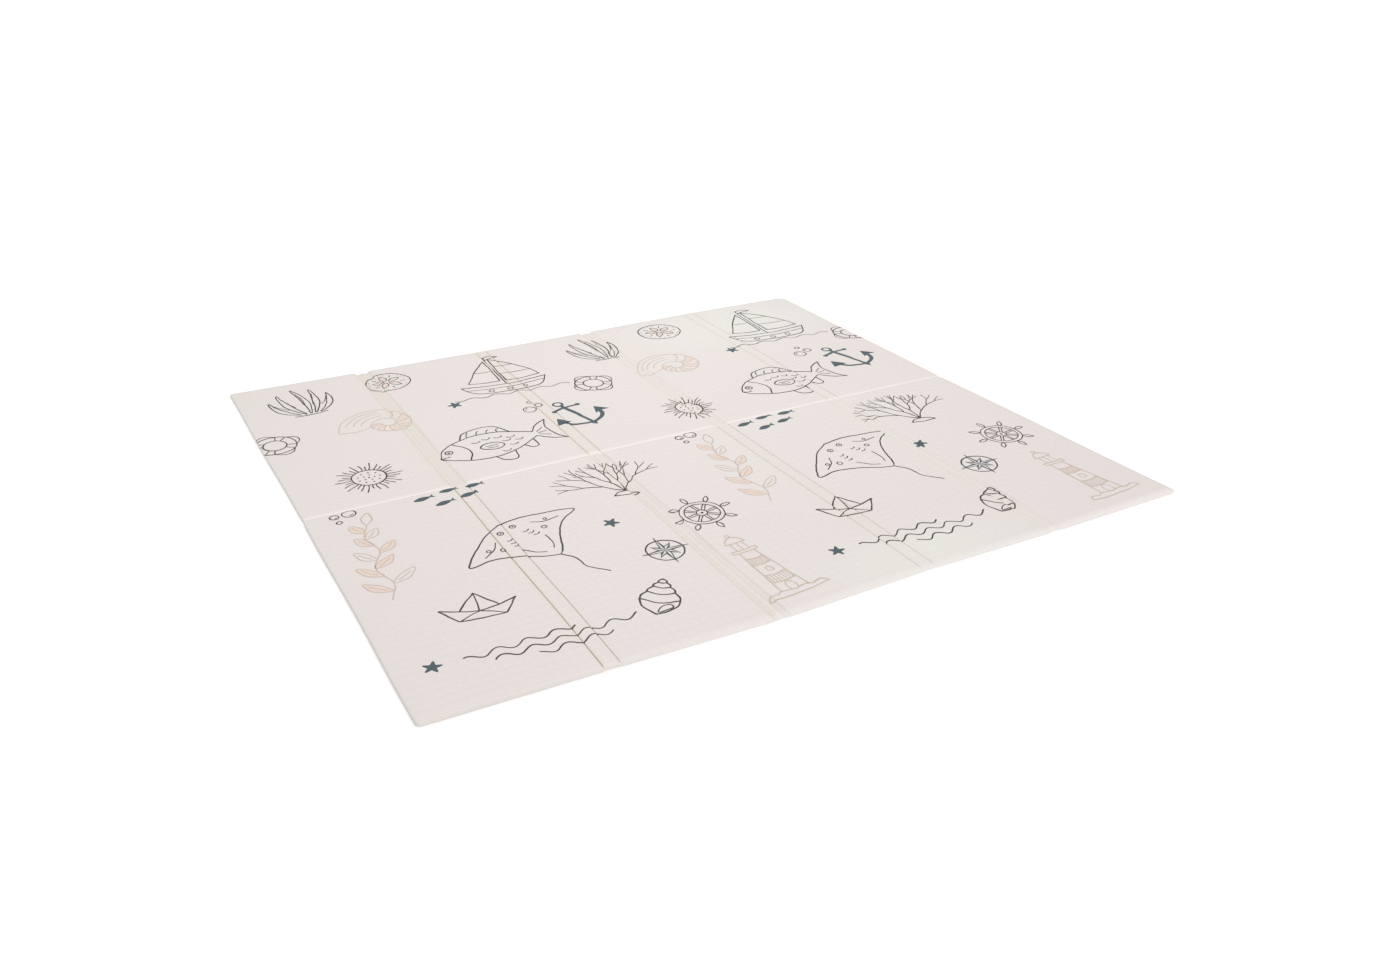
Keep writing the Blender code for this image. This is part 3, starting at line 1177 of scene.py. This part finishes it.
class Pen:
    """Draws a motif in its own millimetres, and prints it at every repeat of the pattern."""

    repeat = 1.0
    reach_over = 0.04
    wavers = ((0.65, 85.0), (0.28, 31.0))
    pressure = 0.13

    def __init__(self, layers: dict[Ink, PrintLayer], form: PressedForm, motif: "Motif") -> None:
        """Set the pen to one motif.

        Args:
            layers: the layer of each ink.
            form: form of the mat.
            motif: what is drawn.
        """
        self.layers = layers
        self.form = form
        self.motif = motif
        self.chance = random.Random(f"{type(motif).__name__} {motif.x} {motif.y}")

    def repeats(self, path: Path) -> list[Path]:
        """Place a path of the motif on the film, once for each repeat that reaches the mat."""
        motif = self.motif
        origin = complex(motif.x - self.form.length / 2, self.form.depth / 2 - motif.y)
        placed = origin + motif.size * MM * unit(motif.turn) * path
        copies = [placed + self.repeat * number for number in range(-1, 3)]
        reach = self.form.length / 2 + self.reach_over
        return [copy for copy in copies if copy.real.max() > -reach and copy.real.min() < reach]

    def unsteady(self, path: Path, closed: bool) -> Path:
        """Let a path with even points waver as a hand does."""
        share = np.arange(len(path)) / len(path)
        length = np.abs(np.diff(path)).sum()
        shift = np.zeros(len(path))
        for size, run in self.wavers:
            turns = max(1, round(length / run))
            shift += size * np.sin(2 * np.pi * (turns * share + self.chance.random()))
        return path + 1j * headings(path, closed) * shift * min(1.0, length / 60)

    def line(self, path: Path, width: float = 4.0, closed: bool = False) -> None:
        """Draw a line with the motif's ink.

        Args:
            path: its middle, in the motif's millimetres.
            width: its width in millimetres.
            closed: whether its end joins its start.
        """
        layer = self.layers[self.motif.ink]
        steady = even_path(path, layer.step / MM / self.motif.size, closed)
        drawn = self.unsteady(steady, closed)
        share = np.arange(len(drawn)) / len(drawn)
        press = 1 + self.pressure * np.sin(2 * np.pi * (share + self.chance.random()))
        for copy in self.repeats(drawn):
            layer.stroke(copy, width * MM * press, closed)

    def curve(self, *points: complex, width: float = 4.0) -> None:
        """Draw a smooth line through points."""
        self.line(spline(*points), width)

    def trace(self, text: str, width: float = 4.0) -> None:
        """Draw smooth lines through written knots, with a semicolon between two lines."""
        for row in text.split(";"):
            self.curve(*knots(row), width=width)

    def loop(self, text: str, width: float = 4.0) -> None:
        """Draw a smooth closed line through written knots."""
        self.line(spline(*knots(text), closed=True), width, closed=True)

    def rings(self, text: str, radius: float, width: float = 4.0) -> None:
        """Draw a circle round each written point."""
        for centre in knots(text):
            self.line(ring(centre, radius), width, closed=True)

    def solid(self, path: Path, ink: Ink | None = None) -> None:
        """Fill a shape with its own ink, or with the motif's."""
        for copy in self.repeats(even_path(path, 3.5, True)):
            self.layers[ink or self.motif.ink].solid(copy)

    def dot(self, centre: complex, radius: float) -> None:
        """Fill a small round dot."""
        for copy in self.repeats(ring(centre, radius)[::4]):
            self.layers[self.motif.ink].solid(copy)


# Motifs: ordinary things of the sea, each in its own millimetres with y up


@dataclass(frozen=True)
class Motif(ABC):
    """One drawing of the print.

    Attributes:
        x: metres from the mat's left edge to its middle.
        y: metres from the mat's back edge to its middle.
        size: scale of the drawing.
        turn: degrees that it is turned anticlockwise.
        ink: its main ink.
    """

    x: float
    y: float
    size: float = 1.0
    turn: float = 0.0
    ink: Ink = Ink.SLATE_LINE

    @abstractmethod
    def draw(self, pen: Pen) -> None:
        """Draw the motif with a pen."""


class ReefFish(Motif):
    """A round-bodied fish from the side, with scales and fins."""

    def draw(self, pen: Pen) -> None:
        """Draw its outline and tail, then its fins, its head and its scales."""
        pen.trace("-150,2 -128,34 -84,62 -26,76 34,68 84,42 122,15")
        pen.trace("-150,2 -134,-22 -92,-50 -34,-68 30,-62 82,-38 122,-14")
        pen.trace("122,15 146,46 186,70; 186,70 170,34 167,0 172,-34 188,-66")
        pen.trace("188,-66 150,-44 122,-14")
        pen.trace("134,9 158,27; 134,0.6 158,1.8; 134,-8.4 158,-25.2", 3.0)
        pen.trace("-60,72 -40,103 8,114 52,99 72,52")
        for number in range(4):
            root = complex(-38 + 27 * number, 78 - 4 * number)
            pen.curve(root, root + 4 + 14j, root + 12 + 25j - 2j * number, width=3.0)
        pen.trace("-24,-70 -12,-98 20,-104 34,-62; 70,-47 84,-70 102,-64 104,-27")
        pen.trace("-90,58 -68,22 -67,-14 -86,-50")
        pen.loop("-36,-2 -14,14 18,8 27,-12 8,-27 -20,-22")
        pen.trace("-22,-2 0,-3 14,-4; -18,-12 -2,-15 8,-16", 3.0)
        pen.rings("-116,17", 10)
        pen.dot(-117 + 17j, 4.2)
        pen.trace("-149,1 -138,-6 -124,-5")
        for place in knots("-30,42 0,47 32,41 62,26 44,12 76,2 52,-18 18,-44"):
            pen.line(arc(place, 12, 200, 340, 0.8), 3.2)


class SailBoat(Motif):
    """A small sailing boat with two sails."""

    def draw(self, pen: Pen) -> None:
        """Draw its hull, then its mast and sails, its pennant and the water."""
        pen.trace("-128,-38 -44,-50 44,-51 134,-34")
        pen.trace("-128,-38 -112,-76 -82,-98 0,-105 84,-99 116,-74 134,-34")
        pen.trace("-117,-62 -50,-72 40,-73 122,-57", 3.2)
        pen.rings("-54,-86 0,-89 54,-86", 7.5, 3.2)
        pen.trace("3,-50 1,60 4,170", 3.6)
        pen.trace("15,154 66,102 106,38 124,-14; 124,-14 68,-27 15,-25; 15,-25 13,60 15,154")
        pen.trace("16,92 44,88 74,90; 16,32 62,27 110,30", 3.0)
        pen.trace("-9,140 -50,78 -98,-14; -98,-14 -52,-25 -9,-23; -9,-23 -7,60 -9,140")
        pen.trace("-10,58 -34,55 -58,60", 3.0)
        pen.trace("4,170 26,178 52,166; 52,166 28,160 4,150")
        along = np.linspace(-172, 176, 60)
        pen.line(along + 1j * (-120 + 6 * np.sin(along / 11)), 3.2)


class Nautilus(Motif):
    """A chambered shell, cut through, with some chambers washed in."""

    growth = 0.175
    start = 13.0
    end = 13.2
    full_turn = 2 * math.pi

    def whorl(self, first: float, last: float) -> Path:
        """Draw the spiral between two angles in radians."""
        angles = np.linspace(first, last, max(6, int(abs(last - first) * 9)))
        return self.start * np.exp(self.growth * angles) * np.exp(1j * angles)

    def across(self, angle: float) -> tuple[complex, complex]:
        """Give the shell's outer and inner point at an angle."""
        return self.whorl(angle, angle + 0.1)[0], self.whorl(angle - self.full_turn, angle)[0]

    def wall(self, angle: float) -> Path:
        """Draw the chamber wall at an angle."""
        outer, inner = self.across(angle)
        return spline(outer, (outer + inner) / 2 * np.exp(-0.16j), inner)

    def draw(self, pen: Pen) -> None:
        """Draw its spiral and mouth, then its walls, the washed chambers and the growth marks."""
        pen.line(self.whorl(0.6, self.end), 3.2)
        outer, inner = self.across(self.end)
        pen.curve(outer, (outer + inner) / 2 + 1j * (outer - inner) * 0.16, inner, width=3.2)
        angles = [6.7 + 0.44 * number for number in range(11)]
        for angle in angles:
            pen.line(self.wall(angle), 3.2)
        for near, far in list(zip(angles, angles[1:]))[::2]:
            inside = self.whorl(far - self.full_turn, near - self.full_turn)
            sides = [self.whorl(near, far), self.wall(far), inside, self.wall(near)[::-1]]
            pen.solid(np.concatenate(sides), Ink.PEACH_WASH)
        for share in (0.30, 0.55, 0.78):
            pen.line(self.whorl(11.55, 12.9) * (share + (1 - share) * 0.34), 3.0)


class Kelp(Motif):
    """A ribbon of kelp with leaves on both sides."""

    def draw(self, pen: Pen) -> None:
        """Draw its stem, then its leaves and its tip."""
        stem = spline(*knots("0,-185 14,-120 -10,-50 12,20 -8,90 6,150"))
        pen.line(stem, 3.4)
        for number in range(9):
            root = stem[int((0.10 + 0.098 * number) * len(stem))]
            side = 1 if number % 2 else -1
            tip = root + (74 - 3 * number) * unit(90 - side * (50 - 2 * number))
            leaf = blade(root, tip, 12.5, -0.06 * side)
            if number % 3 != 1:
                pen.solid(leaf, Ink.PEACH_WASH)
            pen.line(leaf, 3.0, closed=True)
            pen.line(rib(root, tip, -0.06 * side), 2.9)
        pen.line(blade(stem[-1], stem[-1] + 8 + 56j, 12), closed=True)


class SeaFan(Motif):
    """A branching sea fan on a small stone."""

    def branch(self, pen: Pen, root: complex, angle: float, length: float, level: int) -> None:
        """Draw one branch and those that part from it.

        Args:
            pen: the pen.
            root: where it starts.
            angle: its direction in degrees.
            length: its length.
            level: how many times it still parts.
        """
        bend = pen.chance.uniform(-7, 7)
        tip = root + length * unit(angle)
        pen.curve(root, root + 0.5 * length * unit(angle + bend), tip, width=2.4 + 0.5 * level)
        if level == 0:
            return
        spread = pen.chance.uniform(15, 23)
        for side in (-1, 1):
            longer = length * pen.chance.uniform(0.76, 0.93)
            self.branch(pen, tip, angle + side * spread + bend, longer, level - 1)

    def draw(self, pen: Pen) -> None:
        """Draw its stone, then its branches."""
        pen.trace("-34,-112 -18,-98 6,-96 26,-102 38,-113; -34,-112 0,-117 38,-113")
        for angle in (138, 108, 84, 52):
            self.branch(pen, 2 - 96j, angle, 56, 3)


class SandDollar(Motif):
    """A sand dollar with five petals."""

    def draw(self, pen: Pen) -> None:
        """Draw its rim, then its petals and pores."""
        pen.line(ring(0, 66, 0.96), closed=True)
        for angle in range(90, 450, 72):
            way, between = unit(angle), unit(angle + 36)
            petal = blade(8 * way, 45 * way, 9.5)
            pen.solid(petal, Ink.PEACH_WASH)
            pen.line(petal, 3.2, closed=True)
            pen.curve(38 * between, 50 * between, width=3.2)
            for turn in (-14, 0, 14):
                pen.dot(56 * unit(angle + turn), 1.7)


class SeaUrchin(Motif):
    """A sea urchin with long and short spines."""

    def draw(self, pen: Pen) -> None:
        """Draw its shell, then its spines and knobs."""
        pen.rings("0,0", 40)
        for number in range(30):
            way = unit(12 * number + pen.chance.uniform(-2, 2))
            length = (78, 60, 70)[number % 3]
            bow = unit(pen.chance.uniform(-3, 3))
            pen.curve(42 * way, 0.5 * (42 + length) * way * bow, length * way, width=3.3)
        for radius, count in ((26, 9), (13, 5)):
            for number in range(count):
                pen.dot(radius * unit(360 * number / count), 2.4)
        pen.dot(0, 2.8)


class Anchor(Motif):
    """A stocked anchor, filled in."""

    def draw(self, pen: Pen) -> None:
        """Draw its ring, shank and stock, then its flukes and arms."""
        pen.rings("0,80", 12.5, 7.5)
        pen.trace("0,66 1,0 0,-62", 12)
        pen.trace("-40,47 0,52 40,47", 10)
        fluke = knots("88,-30 64,8 41,-32 62,-24")
        for side, shape in ((-1, -fluke.conj()), (1, fluke)):
            pen.solid(ring(41 * side + 47j, 7.5))
            pen.solid(shape)
        pen.trace("-63,-20 -46,-52 0,-70 46,-52 63,-20", 12)
        pen.solid(knots("-13,-68 0,-90 13,-68"))


class Whelk(Motif):
    """A whelk's shell with a tall spire."""

    def draw(self, pen: Pen) -> None:
        """Draw its whorls, then its foot and mouth."""
        rims = ((0, 62), (9, 48), (18, 31), (30, 9), (42, -20))
        for (near, top), (far, low) in zip(rims, rims[1:]):
            for side in (-1, 1):
                middle = complex(side * ((near + far) / 2 + 4), (top + low) / 2)
                pen.curve(complex(side * near, top), middle, complex(side * far, low), width=4.4)
            pen.curve(complex(-far, low), complex(0, low - 0.28 * far), complex(far, low))
        pen.trace("-42,-20 -34,-46 -14,-66 -2,-74; 42,-20 38,-42 20,-62 -2,-74", 4.4)
        pen.loop("24,-35 30,-45 14,-60 1,-66 4,-51 12,-40", 3.4)


class Ripples(Motif):
    """Three lines of water."""

    def draw(self, pen: Pen) -> None:
        """Draw each line as a sine wave."""
        for start, end, height in ((-170, 60, 26), (-120, 190, 0), (-40, 120, -26)):
            along = np.linspace(start, end, 70)
            pen.line(along + 1j * (height + 8 * np.sin(along / 9.5)), 3.8)


class ShipWheel(Motif):
    """A ship's wheel with eight handles."""

    def draw(self, pen: Pen) -> None:
        """Draw its rims and hub, then its spokes and handles."""
        for radius in (54, 43, 13):
            pen.rings("0,0", radius, 3.0)
        pen.dot(0, 4)
        for angle in range(0, 360, 45):
            way = unit(angle)
            for side in (3.4j * way, -3.4j * way):
                pen.curve(14 * way + side, 42 * way + side, width=3.0)
            pen.line(blade(55 * way, 84 * way, 6), 3.2, closed=True)


class Lighthouse(Motif):
    """A banded lighthouse on a rock."""

    def draw(self, pen: Pen) -> None:
        """Draw its tower and bands, then its gallery, lantern, door, window and rock."""
        pen.trace("-36,-118 -28,-20 -21,68; 36,-118 28,-20 21,68")
        for low, high in ((-78, -44), (6, 36)):
            edges = [(34 - 0.083 * (height + 110)) for height in (low, high)]
            for height, edge in zip((low, high), edges):
                pen.curve(-edge + height * 1j, complex(0, height - 5), edge + height * 1j)
            for number in range(7):
                place = 2 * (number + 0.5) / 7 - 1
                foot, head = complex(edges[0] * place, low - 4), complex(edges[1] * place, high - 4)
                pen.curve(foot, head, width=2.9)
        pen.trace("-33,68 0,66 33,68; -33,79 0,77 33,79; -33,68 -33,79; 33,68 33,79")
        pen.trace("-17,80 -17,114; 0,80 0,114; 17,80 17,114", 3.2)
        pen.trace("-26,115 0,112 26,115; -26,115 -16,133 0,142 16,133 26,115")
        pen.rings("0,149", 5.5, 3.2)
        pen.trace("-10,-120 -11,-98 0,-86 11,-98 10,-120", 3.3)
        pen.loop("-7,-30 -7,-18 0,-11 7,-18 7,-30", 3.2)
        pen.trace("-84,-134 -74,-118 -50,-122 -36,-116 -4,-123 28,-118 48,-124 70,-118 86,-134")
        pen.trace("-84,-134 -30,-140 30,-139 86,-134")


class SmallStar(Motif):
    """A small plain star, filled in."""

    def draw(self, pen: Pen) -> None:
        """Fill its five blunt points."""
        corners = []
        for angle in range(90, 450, 72):
            corners += [20 * unit(angle - 7), 21.5 * unit(angle), 20 * unit(angle + 7)]
            corners.append(9.5 * unit(angle + 36))
        pen.solid(np.array(corners))


class FishShoal(Motif):
    """Five small fish that swim one way, filled in."""

    def draw(self, pen: Pen) -> None:
        """Fill the body and tail of each fish."""
        for place in knots("-62,26 2,34 66,24 -30,-16 34,-10"):
            tilt = unit(pen.chance.uniform(-9, 9))
            pen.solid(place + tilt * blade(-24 + 0j, 17 + 0j, 8.8))
            pen.solid(place + tilt * knots("13,0 26,9 22,0 26,-9"))


class Bubbles(Motif):
    """Three bubbles, each with a glint."""

    def draw(self, pen: Pen) -> None:
        """Draw each bubble, and the glint of those that have room for one."""
        for place, radius in ((-16 - 14j, 17), (18 + 2j, 11), (2 + 30j, 7)):
            pen.line(ring(place, radius), 3.3, closed=True)
            if radius > 8:
                pen.line(arc(place, radius * 0.6, 110, 165), 2.9)


class SeaGrass(Motif):
    """A tuft of sea grass."""

    def draw(self, pen: Pen) -> None:
        """Draw its blades, then the ground."""
        tips = knots("-82,36 -48,82 -3,106 44,86 80,42")
        for root, tip, bend in zip(range(-26, 27, 13), tips, (0.13, 0.07, -0.06, -0.06, -0.13)):
            pen.line(blade(root - 86j, tip, 8.5, bend), 3.5, closed=True)
            pen.line(rib(root - 50j, tip, 0.8 * bend), 2.6)
        pen.trace("-46,-90 -18,-95 18,-95 44,-89")


class PaperBoat(Motif):
    """A boat folded from paper."""

    def draw(self, pen: Pen) -> None:
        """Draw its hull and sail, then its folds."""
        pen.trace("-74,12 -58,-16 -44,-36; -44,-36 0,-39 46,-36; 46,-36 60,-14 76,12")
        pen.trace("-74,12 -36,-2 0,-12 40,-2 76,12; -36,0 -18,28 2,54; 2,54 20,28 38,0")
        pen.trace("2,54 1,20 0,-12; -44,-36 -20,-22 0,-12; 46,-36 20,-22 0,-12", 3.2)


class LifeRing(Motif):
    """A life ring with its rope."""

    def draw(self, pen: Pen) -> None:
        """Draw both its circles, then its bands and the loops of its rope."""
        for radius in (58, 32):
            pen.rings("0,0", radius)
        for angle in range(45, 405, 90):
            for way in (unit(angle - 13), unit(angle + 13)):
                pen.curve(33 * way, 57 * way, width=3.3)
            ways = np.exp(1j * np.radians(np.linspace(angle + 17, angle + 73, 14)))
            pen.line(ways * (60 + 12 * np.sin(np.linspace(0, math.pi, 14))), 3.3)


class CompassRose(Motif):
    """A compass rose with eight points and no letters."""

    def draw(self, pen: Pen) -> None:
        """Draw its circle, then its points, each with one half filled in."""
        pen.rings("0,0", 46)
        for number in range(8):
            way = unit(45 * number)
            tip = (60 if number % 2 == 0 else 36) * way
            near, far = 17 * way * np.exp(-0.39j), 17 * way * np.exp(0.39j)
            pen.solid(np.array((0, near, tip)), Ink.SLATE_SOLID)
            pen.curve(far, (far + tip) / 2, tip, width=2.6)


class Ray(Motif):
    """A ray from above, with a long tail."""

    def draw(self, pen: Pen) -> None:
        """Draw its wings and tail, then its markings."""
        right = knots("0,93 18,90 52,82 104,56 172,10 122,-4 72,-36 34,-78 12,-98")
        pen.curve(*right)
        pen.curve(*-right[::-1].conj())
        pen.trace("-12,-98 0,-104 12,-98", 3.2)
        pen.trace("0,-104 7,-140 -3,-184 12,-232", 3.6)
        for side in (-1, 1):
            pen.line(ring(22 * side + 62j, 7), 3.2, closed=True)
            pen.dot(22 * side + 62j, 2.6)
            for number in range(3):
                root = complex(side * (20 + 3 * number), 26 - 14 * number)
                pen.curve(root, root + side * 9 - 3j, root + side * 16, width=3.0)
            pen.curve(side * 62 + 44j, side * 84 + 24j, side * 122 + 14j, width=3.0)
            pen.curve(side * 40 - 22j, side * 30 - 52j, side * 12 - 74j, width=3.0)
        for place, radius in ((66 + 6j, 6), (-72 + 8j, 7), (94 + 30j, 4), (-98 + 28j, 5)):
            pen.line(ring(place, radius), 3.0, closed=True)


@dataclass
class SeaPrint:
    """The print: its motifs, and the layers of ink that hold them.

    Attributes:
        mat: the mat that it is on.
    """

    mat: FoamSheet

    def motifs(self) -> list[Motif]:
        """Give the motifs of one repeat, a metre of the mat's length."""
        slate, umber, tan = Ink.SLATE_LINE, Ink.UMBER_LINE, Ink.TAN_LINE
        filled = Ink.SLATE_SOLID
        return [
            SeaGrass(0.150, 0.170, 1.06, 4, slate),
            SandDollar(0.435, 0.125, 1.12, 10, umber),
            SailBoat(0.765, 0.255, 1.10, -3, slate),
            LifeRing(0.015, 0.440, 1.00, 20, umber),
            Nautilus(0.330, 0.430, 1.08, 150, tan),
            SmallStar(0.560, 0.400, 1.10, 12, filled),
            Anchor(0.866, 0.630, 1.12, 14, filled),
            ReefFish(0.560, 0.715, 1.08, 5, slate),
            SeaUrchin(0.185, 0.750, 1.12, 0, umber),
            Bubbles(0.765, 0.520, 1.15, 0, umber),
            Bubbles(0.065, 0.930, 1.00, 160, slate),
            FishShoal(0.345, 0.955, 1.16, 6, filled),
            SeaFan(0.760, 1.035, 1.05, -4, umber),
            Kelp(0.085, 1.160, 1.08, -6, tan),
            Ray(0.430, 1.245, 1.08, 24, slate),
            SmallStar(0.645, 1.270, 1.05, 30, filled),
            CompassRose(0.700, 1.445, 1.00, 0, slate),
            ShipWheel(0.880, 1.330, 1.04, 8, umber),
            PaperBoat(0.215, 1.475, 1.12, -6, umber),
            SmallStar(0.060, 1.640, 1.00, 50, filled),
            Ripples(0.310, 1.665, 1.08, 3, slate),
            Whelk(0.595, 1.610, 1.06, -34, slate),
            Lighthouse(0.880, 1.605, 0.98, 3, tan),
        ]

    def build(self) -> list[bpy.types.Object]:
        """Draw every motif, and lay each ink on the mat.

        Returns:
            One piece for each ink.
        """
        layers = {ink: PrintLayer(ink) for ink in Ink}
        for motif in self.motifs():
            motif.draw(Pen(layers, self.mat.form, motif))
        face = self.mat.surface()
        return [layer.build(self.mat, face) for layer in layers.values()]


# Studio


@dataclass(frozen=True)
class Studio:
    """The floor, the lights and the camera.

    Attributes:
        camera_place: where the camera stands.
        target: the point that it looks at.
        roll: how far it is turned about its own axis, in degrees.
        lens: focal length on a 36 mm sensor, in millimetres.
        floor_radius: half the floor's width.
        floor_drop: how far the floor lies under the mat, so that their faces never coincide.
        floor_glow: how strongly the floor is lit from below.
        world_light: strength of the white room as light. The camera sees it as plain white.
        key_from: the direction that the key light comes from.
        key_light: its strength.
        key_spread: its width, in degrees.
        softbox_place: middle of the softbox.
        softbox_size: its side.
        softbox_light: its power in watts.
    """

    camera_place: Vector = Vector((-1.4287, -2.6221, 1.3812))
    target: Vector = Vector((-0.0486, -0.2734, 0.0100))
    roll: float = 0.818
    lens: float = 30.22
    floor_radius: float = 60.0
    floor_drop: float = 0.0004
    floor_glow: float = 0.40
    world_light: float = 0.755
    key_from: Vector = Vector((-0.55, -2.1, 2.3))
    key_light: float = 1.06
    key_spread: float = 55.0
    softbox_place: Vector = Vector((0.20, 0.55, 1.7))
    softbox_size: float = 1.2
    softbox_light: float = 6.2

    def add_camera(self) -> None:
        """Stand the camera where the photograph was taken from."""
        camera = bpy.data.objects.new("camera", bpy.data.cameras.new("camera"))
        way = self.target - self.camera_place
        turn = way.to_track_quat("-Z", "Y").to_matrix()
        turn = turn @ Matrix.Rotation(math.radians(self.roll), 3, "Z")
        camera.matrix_world = Matrix.Translation(self.camera_place) @ turn.to_4x4()
        camera.data.lens = self.lens
        camera.data.sensor_width = 36.0
        camera.data.clip_end = 200.0
        bpy.context.scene.collection.objects.link(camera)
        bpy.context.scene.camera = camera

    def add_floor(self) -> None:
        """Lay a plain pale floor of opal acrylic, which is lit a little from below."""
        material, shader = new_material("opal_acrylic_floor")
        set_inputs(
            shader,
            {
                "Base Color": linear("#CECECE"),
                "Emission Color": (1.0, 1.0, 1.0, 1.0),
                "Emission Strength": self.floor_glow,
                "Roughness": 0.9,
                "Specular IOR Level": 0.2,
            },
        )
        bm = bmesh.new()
        bmesh.ops.create_circle(bm, cap_ends=True, radius=self.floor_radius, segments=96)
        bmesh.ops.translate(bm, verts=bm.verts[:], vec=(0, 0, -self.floor_drop))
        make_piece("floor", bm, material)

    def hang(self, light: bpy.types.Light, place: Vector, power: float) -> None:
        """Hang a light so that it points at the middle of the mat.

        Args:
            light: the light.
            place: its middle, or for far light the direction that it comes from.
            power: its power.
        """
        light.energy = power
        lamp = bpy.data.objects.new(light.name, light)
        turn = (-place).to_track_quat("-Z", "Y").to_matrix().to_4x4()
        lamp.matrix_world = Matrix.Translation(place) @ turn
        bpy.context.scene.collection.objects.link(lamp)

    def add_lights(self) -> None:
        """Light the scene: a white room, a broad key from the front left and a softbox above."""
        world = bpy.data.worlds.new("white_room")
        world.use_nodes = True
        tree = world.node_tree
        seen = add_node(tree, "LightPath", output="Is Camera Ray")
        strength = add_node(tree, "MapRange", {"Value": seen, "To Min": self.world_light})
        white = {"Color": (1.0, 1.0, 1.0, 1.0), "Strength": strength}
        set_inputs(tree.nodes["Background"], white)
        bpy.context.scene.world = world
        key = bpy.data.lights.new("key_light", "SUN")
        key.angle = math.radians(self.key_spread)
        self.hang(key, self.key_from, self.key_light)
        softbox = bpy.data.lights.new("softbox_above", "AREA")
        softbox.shape = "SQUARE"
        softbox.size = self.softbox_size
        self.hang(softbox, self.softbox_place, self.softbox_light)

    def build(self) -> None:
        """Set up the whole studio."""
        self.add_camera()
        self.add_floor()
        self.add_lights()
        bpy.context.scene.view_settings.view_transform = "Standard"


def main() -> None:
    """Build the mat, its print and the studio, and say what each piece stands for."""
    logging.basicConfig(level=logging.INFO, format="%(message)s")
    form = PressedForm()
    mat = FoamSheet(form, GridLines(form), EmbossedFilm())
    sheet = mat.build()
    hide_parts("play_mat")
    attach(sheet, BODY)
    LOG.info("foam sheet: %d faces", len(sheet.data.polygons))
    for layer in SeaPrint(mat).build():
        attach(layer, BODY)
        LOG.info("%s: %d faces", layer.name, len(layer.data.polygons))
    Studio().build()
    LOG.info("studio: floor, lights and camera")


if __name__ == "__main__":
    main()
